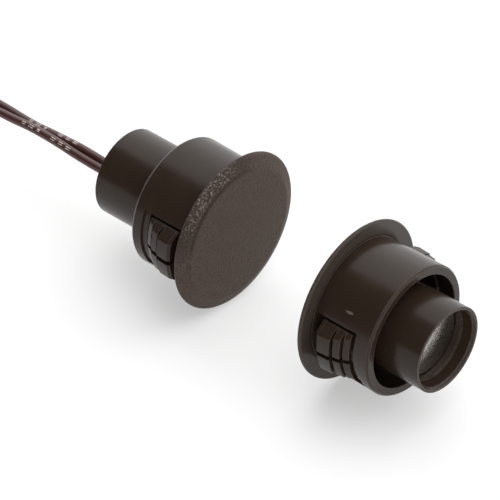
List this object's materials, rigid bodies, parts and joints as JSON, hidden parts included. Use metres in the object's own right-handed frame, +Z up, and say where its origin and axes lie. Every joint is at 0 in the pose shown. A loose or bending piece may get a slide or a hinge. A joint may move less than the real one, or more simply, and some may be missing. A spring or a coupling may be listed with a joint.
{
  "type": "door contact sensor",
  "caption": "Recessed magnetic door contact: a press-fit switch plug with flying leads and a matching press-fit magnet plug, face to face on one axis.",
  "frame": {"origin": "on the surface that the flanges stand on, below the middle of the two units' common length", "axes": "+X along the units' common axis, from the switch to the magnet; +Z up; +Y to the left of +X"},
  "size_m": [0.1166, 0.032, 0.0237],
  "materials": {
    "housing_brown": "dark brown moulded plastic, fine spark texture on the cap, smoother on barrel and tube",
    "potting_clear": "whitish translucent potting resin",
    "reed_glass": "clear greenish glass",
    "reed_alloy": "nickel-iron alloy",
    "cushion_silicone": "soft white silicone",
    "crimp_tinned": "tinned copper sleeve",
    "lead_insulation": "red-brown extruded PVC with plain light dashes",
    "lead_conductor": "tinned stranded copper",
    "tie_black": "plastic covered twist tie",
    "magnet_plated": "plated magnet, satin",
    "adhesive_grey": "cured adhesive"
  },
  "bodies": {
    "switch_unit": {"switch_housing": "housing_brown", "potting_plug": "potting_clear", "reed_glass": "reed_glass", "reed_cushion": "cushion_silicone", "reed_blade_fixed": "reed_alloy", "reed_lead_rear": "reed_alloy", "crimp_a": "crimp_tinned", "crimp_b": "crimp_tinned", "lead_core_a": "lead_conductor", "lead_core_b": "lead_conductor", "lead_a": "lead_insulation", "lead_b": "lead_insulation", "lead_coil_a": "lead_insulation", "lead_coil_b": "lead_insulation", "lead_tail_a": "lead_insulation", "lead_tail_b": "lead_insulation", "lead_tip_a": "lead_conductor", "lead_tip_b": "lead_conductor", "coil_tie": "tie_black"},
    "switch_snap_finger_a": {"switch_snap_finger_a": "housing_brown"},
    "switch_snap_finger_b": {"switch_snap_finger_b": "housing_brown"},
    "reed_blade": {"reed_blade_moving": "reed_alloy"},
    "magnet_unit": {"magnet_housing": "housing_brown", "magnet_rod": "magnet_plated", "magnet_adhesive": "adhesive_grey"},
    "magnet_snap_finger_a": {"magnet_snap_finger_a": "housing_brown"},
    "magnet_snap_finger_b": {"magnet_snap_finger_b": "housing_brown"}
  },
  "joints": [
    {"name": "magnet_slide", "type": "slide", "parent": "switch_unit", "child": "magnet_unit", "axis": [1, 0, 0], "range_m": [-0.018, 0.03]},
    {"name": "switch_snap_finger_a_hinge", "type": "hinge", "parent": "switch_unit", "child": "switch_snap_finger_a", "pos_m": [-0.01565, -0.00896, 0.0114], "axis": [0, -0.0523, 0.9986], "range_deg": [0, 17], "stiffness_Nm_per_rad": 0.05},
    {"name": "switch_snap_finger_b_hinge", "type": "hinge", "parent": "switch_unit", "child": "switch_snap_finger_b", "pos_m": [-0.01565, 0.00896, 0.01234], "axis": [0, 0.0523, -0.9986], "range_deg": [0, 17], "stiffness_Nm_per_rad": 0.05},
    {"name": "magnet_snap_finger_a_hinge", "type": "hinge", "parent": "magnet_unit", "child": "magnet_snap_finger_a", "pos_m": [0.02075, -0.00892, 0.01086], "axis": [0, 0.1132, -0.9936], "range_deg": [0, 17], "stiffness_Nm_per_rad": 0.05},
    {"name": "magnet_snap_finger_b_hinge", "type": "hinge", "parent": "magnet_unit", "child": "magnet_snap_finger_b", "pos_m": [0.02075, 0.00892, 0.01289], "axis": [0, -0.1132, 0.9936], "range_deg": [0, 17], "stiffness_Nm_per_rad": 0.05},
    {"name": "reed_blade_flex", "type": "hinge", "parent": "switch_unit", "child": "reed_blade", "pos_m": [-0.0228, 0.0016, 0.01113], "axis": [0, 1, 0], "range_deg": [0, 1], "stiffness_Nm_per_rad": 0.002}
  ]
}
